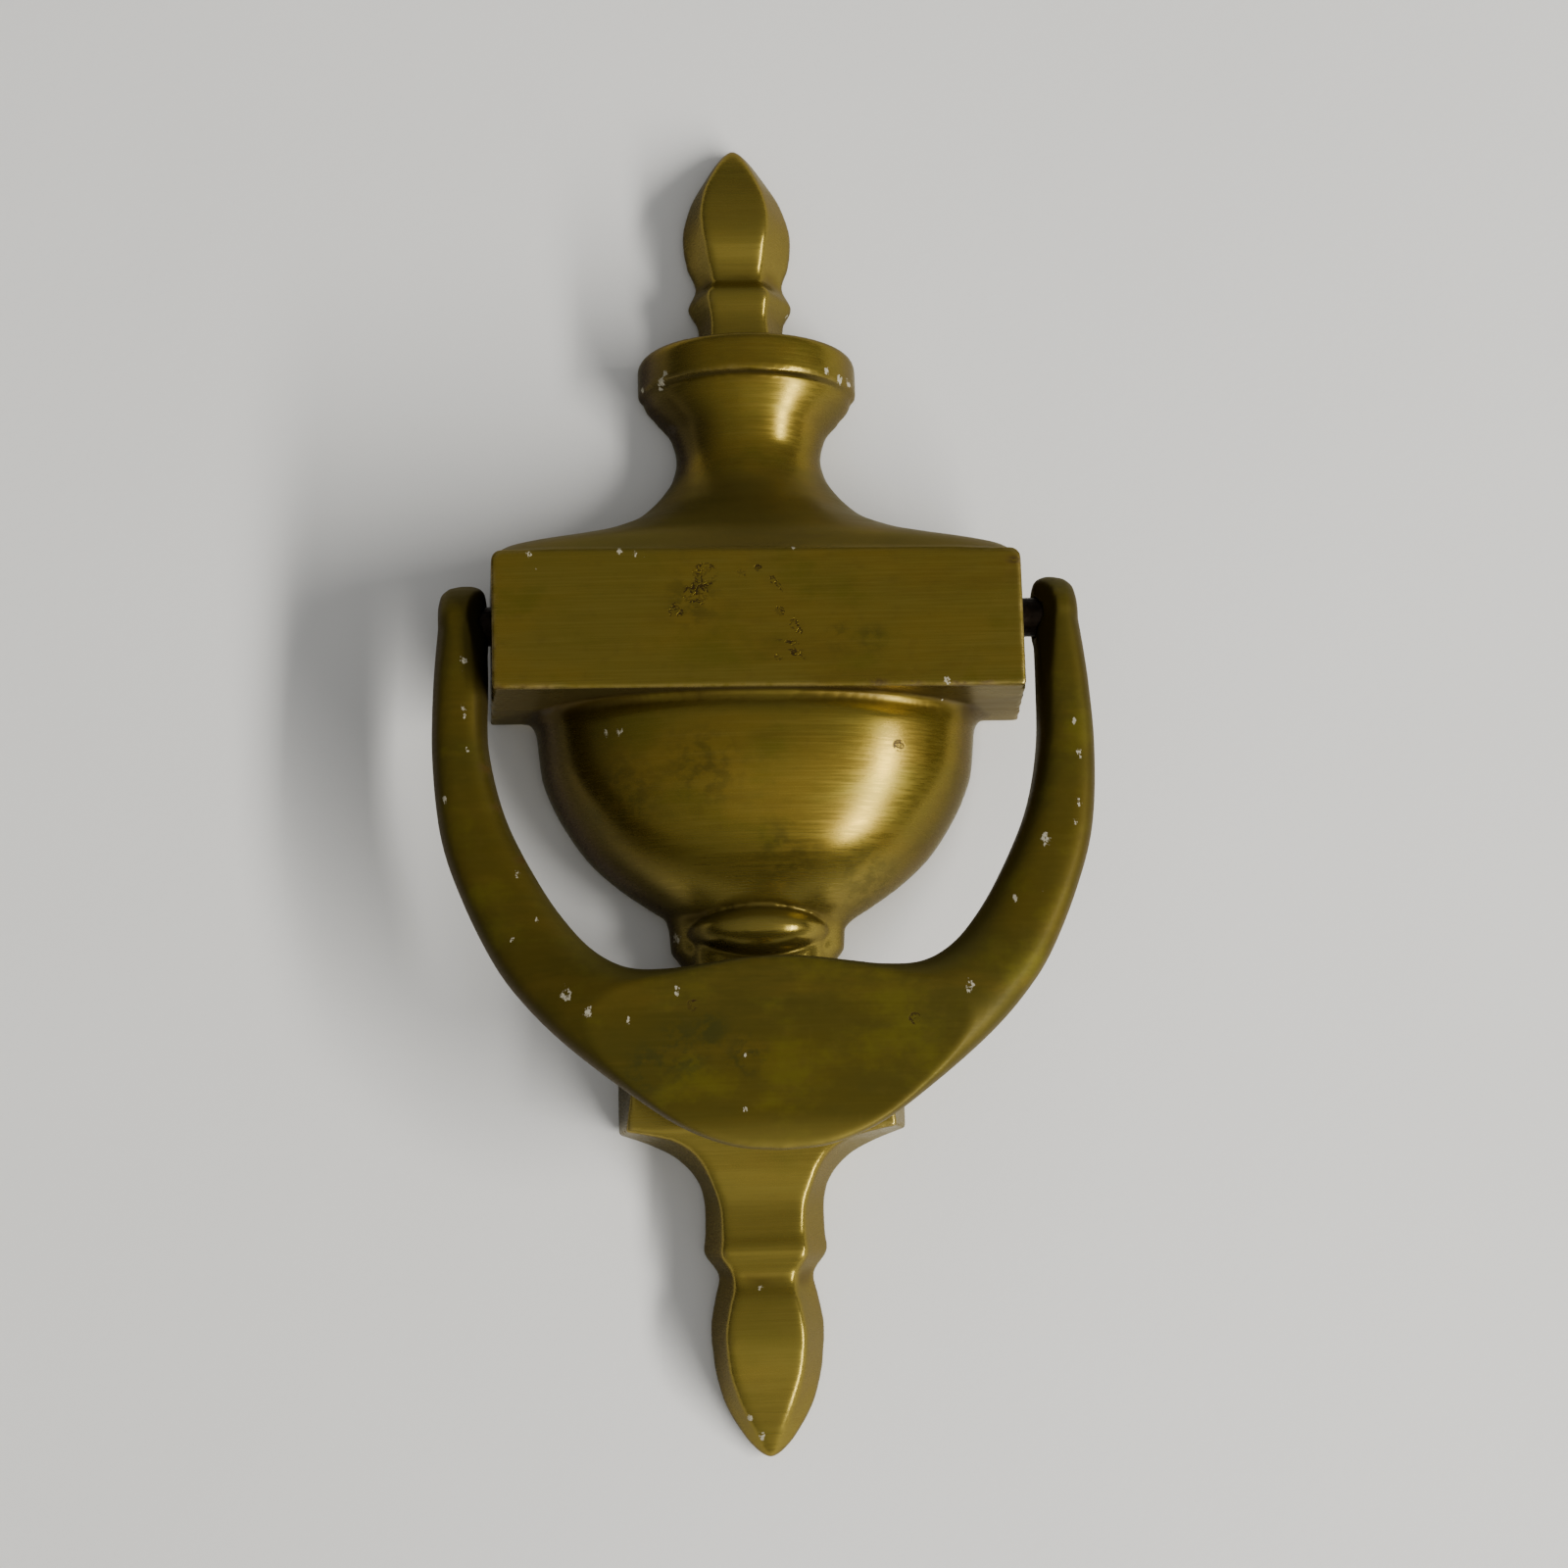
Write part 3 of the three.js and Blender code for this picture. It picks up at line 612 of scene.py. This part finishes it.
class Finish:
    """Builds one node material."""

    def __init__(self, name):
        self.material = bpy.data.materials.new(name)
        self.material.use_nodes = True
        self.tree = self.material.node_tree
        self.shader = self.tree.nodes["Principled BSDF"]
        self.place = self.tree.nodes.new("ShaderNodeTexCoord").outputs["Object"]

    def set(self, socket, value):
        if isinstance(value, bpy.types.NodeSocket):
            self.tree.links.new(value, socket)
        else:
            socket.default_value = value

    def add(self, kind, inputs, output=0, **settings):
        node = self.tree.nodes.new(kind)
        for key, value in settings.items():
            setattr(node, key, value)
        for key, value in inputs.items():
            self.set(node.inputs[key], value)
        return node.outputs[output]

    def attribute(self, name):
        return self.add("ShaderNodeAttribute", {}, "Fac", attribute_name=name)

    def sum(self, operation, a, b=0.0):
        return self.add("ShaderNodeMath", {0: a, 1: b}, operation=operation, use_clamp=False)

    def between(self, value, low, high, start=0.0, end=1.0):
        inputs = {"Value": value, "From Min": low, "From Max": high, "To Min": start, "To Max": end}
        return self.add("ShaderNodeMapRange", inputs, interpolation_type="SMOOTHSTEP")

    def noise(self, stretch, detail=4.0, roughness=0.55, offset=0.0):
        """Noise with so many features per metre along each axis."""
        inputs = {"Vector": self.place, "Scale": stretch, "Location": (offset, offset, offset)}
        place = self.add("ShaderNodeMapping", inputs)
        inputs = {"Vector": place, "Scale": 1.0, "Detail": detail, "Roughness": roughness}
        return self.add("ShaderNodeTexNoise", inputs, "Fac")

    def blend(self, amount, a, b):
        node = self.tree.nodes.new("ShaderNodeMix")
        node.data_type = "RGBA"
        for index, value in ((0, amount), (6, a), (7, b)):
            self.set(node.inputs[index], value)
        return node.outputs[2]

    def bump(self, height, distance, strength=1.0, normal=None):
        inputs = {"Height": height, "Distance": distance, "Strength": strength}
        if normal is not None:
            inputs["Normal"] = normal
        return self.add("ShaderNodeBump", inputs, "Normal")

    def finish(self, **values):
        for name, value in values.items():
            self.set(self.shader.inputs[name.replace("_", " ")], value)
        return self.material


def old_brass(name, tone, warm, roughness, shine, gloss, staining, wear):
    """Brushed brass under thin tarnish: olive in the open, brown in corners, bright on worn edges, with painted
    shade, a painted side reflection and painted light.
    """
    f = Finish(name)
    edge, crevice, side = (f.attribute(kind) for kind in ("edge", "crevice", "side"))
    painted_shade, top, brightened = (f.attribute(kind) for kind in ("painted_shade", "top", "brightened"))
    paint, stain, pit, grime = (f.attribute(kind) for kind in ("paint", "stain", "pit", "grime"))
    clouds = f.noise((35, 60, 70), 5.0, 0.6)
    patches = f.noise((90, 90, 120), 5.0, 0.6, 3.1)
    mottle = f.noise((420, 420, 520), 4.0, 0.6, 7.7)
    brush = f.noise((60, 500, 3200), 3.0, 0.6, 1.3)
    grain = f.noise((2600, 2600, 2600), 3.0, 0.6, 5.5)
    specks = f.noise((1500, 1500, 1100), 3.0, 0.7, 2.4)

    color = f.blend(f.between(clouds, 0.36, 0.66), tone, warm)
    color = f.blend(f.between(patches, 0.5, 0.72, 0.0, 0.55), color, OLIVE_TARNISH)
    color = f.blend(f.between(mottle, 0.5, 0.85, 0.0, 0.3), color, BROWN_MOTTLE)
    color = f.blend(f.between(brush, 0.4, 0.8, 0.0, wear / 4), color, BRIGHT_BRUSHING)
    smears = f.noise((30, 200, 170), 5.0, 0.65, 11.3)
    color = f.blend(f.between(smears, 0.5, 0.7, 0.0, 0.4), color, BROWN_SMEAR)
    # brighter brass: a lighter tone on the finials, and painted light on the bowl's lower part
    color = f.blend(brightened, color, BRIGHTENED_BRASS)
    # painted reflection: sideways-facing surfaces are dulled towards the taupe of the paper they reflect
    color = f.blend(f.sum("MULTIPLY", side, 0.6), color, PAINTED_SIDE_REFLECTION)
    # upward-facing surfaces of the urn are tinted a duller tone
    color = f.blend(f.sum("MULTIPLY", top, 0.5), color, UPWARD_TONE)
    # painted shade: darkens the sides turned away from the window
    color = f.blend(f.sum("MULTIPLY", painted_shade, 0.8), color, PAINTED_SHADE_TONE)
    brown = f.sum("MULTIPLY", crevice, f.between(patches, 0.3, 0.6, 0.2, 0.65))
    dirty = f.sum("MULTIPLY", grime, f.between(f.noise((500, 500, 900), 3.0, 0.6, 6.1), 0.36, 0.5))
    color = f.blend(f.sum("MAXIMUM", brown, dirty), color, CORNER_GRIME)
    worn = f.sum("MULTIPLY", edge, f.between(mottle, 0.35, 0.6, wear / 8, wear))
    color = f.blend(worn, color, WORN_EDGE)
    dark = f.sum("MULTIPLY", stain, f.between(mottle, 0.4, 0.6))
    color = f.blend(f.sum("MULTIPLY", dark, staining), color, BLACK_STAIN)
    flaking = f.sum("SUBTRACT", f.noise((750, 750, 1000), 3.0, 0.65, 9.2), 0.5)
    rims = f.between(f.sum("MULTIPLY", flaking, flaking), 0.0012, 0.0036, 1.0, 0.0)
    pitted = f.sum("MULTIPLY", rims, f.between(pit, 0.25, 0.5))
    pitted = f.sum("MULTIPLY", pitted, f.between(mottle, 0.42, 0.5, 0.35, 0.95))
    color = f.blend(pitted, color, PIT_BROWN)
    chips = f.sum("ADD", f.sum("MULTIPLY", paint, 0.385), specks)
    flecks = f.between(chips, 0.83, 0.89, 0.0, 0.85)
    color = f.blend(flecks, color, OLD_PAINT)

    rough = f.between(brush, 0.3, 0.7, roughness - 0.03, roughness + 0.05)
    rough = f.sum("ADD", rough, f.between(clouds, 0.3, 0.7, 0.04, -0.03))
    dull = f.sum("MAXIMUM", f.sum("MAXIMUM", brown, dirty), pitted)
    rough = f.sum("ADD", rough, f.sum("MULTIPLY", dull, 0.25))
    rough = f.sum("ADD", rough, f.sum("MULTIPLY", top, 0.16))
    rough = f.sum("MAXIMUM", rough, f.sum("MULTIPLY", flecks, 0.7))
    matte = f.sum("MAXIMUM", flecks, f.sum("MULTIPLY", dirty, 0.7))
    metal = f.sum("MULTIPLY", f.sum("SUBTRACT", 1.0, matte), shine)

    relief = f.bump(brush, BRUSH_DEPTH, 0.1 + wear * 0.6)
    relief = f.bump(grain, GRAIN_DEPTH, 0.2, relief)
    marks = f.sum("SUBTRACT", f.sum("MULTIPLY", flecks, 0.5), pitted)
    relief = f.bump(marks, MARK_DEPTH, 0.5, relief)
    return f.finish(
        Base_Color=color, Metallic=metal, Roughness=rough, Normal=relief,
        Specular_Tint=EDGE_TINT, Coat_Weight=gloss, Coat_Roughness=0.28,
    )


def worn_metal(name, dark, bright, roughness):
    """A turned stud or a screw: fine turning marks, dirt and rubbed high spots."""
    f = Finish(name)
    dirt = f.noise((260, 260, 260), 5.0, 0.65, 1.7)
    marks = f.noise((5200, 700, 5200), 3.0, 0.6, 4.1)
    color = f.blend(f.between(dirt, 0.38, 0.66), bright, dark)
    color = f.blend(f.between(marks, 0.45, 0.8, 0.0, 0.4), color, bright)
    rough = f.between(dirt, 0.35, 0.7, roughness - 0.08, roughness + 0.15)
    relief = f.bump(marks, 0.00002, 0.7)
    relief = f.bump(dirt, 0.00006, 0.5, relief)
    return f.finish(Base_Color=color, Metallic=1.0, Roughness=rough, Normal=relief)


def pale_paper():
    """White paper with faint waves and fibres, seen from its front and clear from behind."""
    f = Finish("paper")
    fibres = f.noise((700, 700, 900), 4.0, 0.7)
    waves = f.noise((6, 6, 5), 3.0, 0.5, 2.0)
    color = f.blend(f.between(waves, 0.3, 0.7), (0.82, 0.81, 0.77, 1), (0.86, 0.85, 0.81, 1))
    color = f.blend(f.between(fibres, 0.6, 0.9, 0.0, 0.25), color, (0.66, 0.65, 0.63, 1))
    relief = f.bump(waves, 0.004, 0.25)
    relief = f.bump(fibres, 0.00008, 0.4, relief)
    material = f.finish(Base_Color=color, Roughness=0.9, Normal=relief)
    see_through = f.add("ShaderNodeBsdfTransparent", {})
    behind = f.add("ShaderNodeNewGeometry", {}, "Backfacing")
    one_sided = f.add("ShaderNodeMixShader", {0: behind, 1: f.shader.outputs[0], 2: see_through})
    f.set(f.tree.nodes["Material Output"].inputs["Surface"], one_sided)
    return material


# ---- The pieces ----

# Spots of wear, as (x, z, radius)
BODY_PAINT = (
    (-33.1, 59.0, 1.0), (-19.7, 59.2, 0.9), (-17.4, 58.9, 0.8), (5.9, 59.3, 0.7),
    (28.2, 38.7, 1.5), (-38.4, 38, 1.2), (-22.3, 33.2, 0.9), (-20.3, 33.2, 0.9), (7.5, 103, 0.9),
    (-6.9, 100.4, 0.7), (-13, 89.9, 1.1), (-12.5, 91, 0.9), (-16.3, 90.2, 1.1), (14.8, 90.3, 1.1),
    (16.4, 90.4, 0.9), (12.7, 90.7, 1.0), (-1.3, -48.4, 0.7), (-3.1, -67.2, 0.9),
    (-1.5, -70.1, 1.0), (-12.3, 4, 1.1),
)
BODY_STAINS = (
    (12.4, 46, 3), (17.2, 45.6, 3), (-20, 24, 8), (-8, 27, 8), (4, 15, 7), (16, 12, 7), (-9, 52, 6),
)
BODY_PITS = (
    (-7.2, 55.5, 2.8), (-8.6, 52.5, 2.8), (-11.6, 50.2, 1.8), (-1.9, 55.6, 0.9), (0.7, 56.4, 0.9),
    (2.9, 54.6, 0.9), (3.7, 49.8, 1.1), (5.7, 47.9, 1.1), (6.4, 46.8, 0.9), (5.5, 45.2, 0.9),
    (5.7, 43.6, 0.9), (3.3, 42.9, 0.9), (21.1, 30.3, 1.3),
)
BODY_GRIME = (
    (-38, 38.8, 2.4), (-34.5, 38.7, 2.6), (-31, 38.6, 2.2), (18, 38.7, 2.6), (23, 38.6, 2.4),
    (30, 38.5, 2.6), (34, 38.4, 2.2), (38.9, 57, 2.4), (-38.9, 45, 2.4), (-12, 84, 2),
)
HANDLE_PAINT = (
    (-43, 44.1, 1.0), (-43, 42.2, 0.8), (-43.2, 36.9, 0.9), (-43, 35.6, 0.8), (-42.5, 30.5, 1.1),
    (-45.7, 23.1, 0.9), (-35.3, 11.8, 1.0), (-32.5, 4.7, 0.8), (-36.1, 2, 0.7), (47.1, 33.1, 0.8),
    (47.5, 28.2, 1.1), (46.9, 20.6, 1.2), (46.4, 18, 0.9), (41.8, 15.2, 1.6), (36.8, 6.6, 0.9),
    (41, 7.6, 0.7), (-12.6, -6.1, 1.0), (-19.5, -10.3, 0.9), (-3.1, -15.4, 0.8),
    (-3.4, -23.2, 0.7), (-28.3, -6.1, 1.7), (-25.3, -8.9, 1.3), (29.2, -6.4, 1.3),
)
HANDLE_STAINS = ((-12, -14.5, 6), (-3, -15.5, 4.5), (-17, -17, 5), (-8, -12, 4))
HANDLE_PITS = ((-10.4, -8.3, 1.3), (21.1, -10.9, 1.3))
HANDLE_GRIME = ((-39.2, 28, 2.5), (-37.5, 22, 2.5), (-34, 14, 2.5))


def dress(obj, name, body, material, node=None):
    """Names a piece and gives it its material. With a node, it is a new shape in that node's place."""
    obj.name = name
    obj.data.name = name
    obj.data.materials.clear()
    obj.data.materials.append(material)
    if node:
        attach(obj, body)
        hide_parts(node)


def build_castings():
    """Builds both castings, and returns the points of the body's surface."""
    body_brass = old_brass(
        "body_brass", (0.152, 0.114, 0.013, 1), (0.184, 0.123, 0.012, 1),
        roughness=0.26, shine=0.79, gloss=0.1, staining=0.35, wear=0.4,
    )
    handle_brass = old_brass(
        "handle_brass", (0.056, 0.044, 0.004, 1), (0.074, 0.053, 0.004, 1),
        roughness=0.52, shine=0.55, gloss=0.03, staining=0.65, wear=0.08,
    )
    body = weather(soften(body_casting()), BODY_PAINT, BODY_STAINS, BODY_PITS, BODY_GRIME)
    surface = points_of(body.data)
    lighten(body)
    dress(body, "body_brass_casting", "body", body_brass, "body_casting")
    handle = place_handle(soften(handle_casting()))
    weather(handle, HANDLE_PAINT, HANDLE_STAINS, HANDLE_PITS, HANDLE_GRIME, is_handle=True)
    lighten(handle)
    dress(handle, "handle_brass_casting", "handle", handle_brass, "handle_casting")
    return surface


def finish_small_pieces():
    stud_brass = worn_metal("stud_brass", (0.2, 0.14, 0.04, 1), (0.52, 0.4, 0.16, 1), 0.36)
    screw_steel = worn_metal("screw_steel", (0.008, 0.005, 0.003, 1), (0.028, 0.02, 0.014, 1), 0.55)
    finishes = {"stud_brass": stud_brass, "screw_steel": screw_steel}
    for row in frame["record"]["subparts"]:
        if row["material_slot"] in finishes:
            node = frame["nodes"][row["node"]]
            dress(node, row["node"], None, finishes[row["material_slot"]])


# ---- The studio ----

PAPER_HALF, PAPER_BEHIND = 1.6, 0.0006  # metres: half its size, and how far behind the casting it lies
PAPER_STEP, PAPER_INSET = 0.001, 0.002  # metres: rows of its cutout, and how far inside the outline
CAMERA_AT = (-0.0141, -0.400, -0.0392)
CAMERA_TURNS = (-2.706, 9.547, -1.633)  # degrees: to the left, up, and rolled
CAMERA_LENS = 60.0
ROOM_BRIGHTER = (0.4, -0.78, -0.48)  # the room is brightest this way
ROOM_STRENGTH = (0.06, 0.46)  # its light on the far side and on the near one
LAMPS = (  # name, place and size in metres, power in watts
    ("window", (1.06, -0.85, -0.62), (0.2, 1.7), 43),
    ("bounce", (0.2, -1.15, -0.64), (0.9, 0.7), 0.6),
    ("behind", (-0.3, 0.9, 0.3), (0.9, 0.9), 9),
)
LAMP_TARGET = (0, 0, 0.03)
LAMP_COLOUR = (1.0, 0.985, 0.96)
ROOM_COLOUR = (0.97, 0.98, 1.0, 1)


def add_camera():
    made = bpy.data.cameras.new("camera")
    made.lens = CAMERA_LENS
    made.sensor_width = 36
    made.clip_start, made.clip_end = 0.01, 20
    camera = bpy.data.objects.new("camera", made)
    bpy.context.scene.collection.objects.link(camera)
    turn, tilt, roll = (math.radians(a) for a in CAMERA_TURNS)
    aim = Matrix.Rotation(turn, 4, "Z") @ Matrix.Rotation(math.pi / 2 + tilt, 4, "X")
    aim = aim @ Matrix.Rotation(roll, 4, "Z")
    camera.matrix_world = Matrix.Translation(CAMERA_AT) @ aim
    bpy.context.scene.camera = camera


def add_paper(surface):
    """The sheet under the knocker, cut away behind it so that light reaches the hollow back."""
    rim = surface[surface[:, 1] > -MM]
    level = np.arange(rim[:, 2].min() + PAPER_STEP, rim[:, 2].max() - PAPER_STEP, PAPER_STEP)
    rows = [rim[np.abs(rim[:, 2] - z) < PAPER_STEP / 2, 0] for z in level]
    left, right = (np.array([end(row) for row in rows]) for end in (np.min, np.max))
    left = np.maximum.reduce([left[:-2], left[1:-1], left[2:]]) + PAPER_INSET
    right = np.minimum.reduce([right[:-2], right[1:-1], right[2:]]) - PAPER_INSET
    spots = []
    for low, high, z in zip(left, right, level[1:-1]):
        spots += [(x, z) for x in (-PAPER_HALF, low, high, PAPER_HALF)]
    last = len(spots)
    spots += [(x, z) for z in (-PAPER_HALF, PAPER_HALF) for x in (-PAPER_HALF, PAPER_HALF)]
    corners = [(x, PAPER_BEHIND, z) for x, z in spots]
    faces = [(k, k + 1, k + 5, k + 4) for row in range(0, last - 4, 4) for k in (row, row + 2)]
    faces.append((last, last + 1, 3, 2, 1, 0))
    faces.append((last - 4, last - 3, last - 2, last - 1, last + 3, last + 2))
    mesh = bpy.data.meshes.new("paper")
    mesh.from_pydata(corners, [], faces)
    mesh.materials.append(pale_paper())
    linked("paper", mesh)


def add_lamp(name, place, size, power):
    lamp = bpy.data.lights.new(name, "AREA")
    lamp.shape = "RECTANGLE"
    lamp.size, lamp.size_y = size
    lamp.energy = power
    lamp.color = LAMP_COLOUR
    obj = bpy.data.objects.new(name, lamp)
    bpy.context.scene.collection.objects.link(obj)
    away = Vector(place) - Vector(LAMP_TARGET)
    obj.rotation_euler = away.to_track_quat("Z", "Y").to_euler()
    obj.location = place


def add_light():
    world = bpy.data.worlds.new("room")
    world.use_nodes = True
    tree = world.node_tree
    background = tree.nodes["Background"]
    background.inputs["Color"].default_value = ROOM_COLOUR
    toward = tree.nodes.new("ShaderNodeVectorMath")
    toward.operation = "DOT_PRODUCT"
    toward.inputs[1].default_value = ROOM_BRIGHTER
    tree.links.new(tree.nodes.new("ShaderNodeTexCoord").outputs["Generated"], toward.inputs[0])
    strength = tree.nodes.new("ShaderNodeMapRange")
    strength.inputs["From Min"].default_value = -1
    strength.inputs["To Min"].default_value, strength.inputs["To Max"].default_value = ROOM_STRENGTH
    tree.links.new(toward.outputs["Value"], strength.inputs["Value"])
    tree.links.new(strength.outputs[0], background.inputs["Strength"])
    bpy.context.scene.world = world
    for name, place, size, power in LAMPS:
        add_lamp(name, place, size, power)


casting_surface = build_castings()
finish_small_pieces()
add_paper(casting_surface)
add_camera()
add_light()
bpy.context.scene.view_settings.view_transform = "AgX"
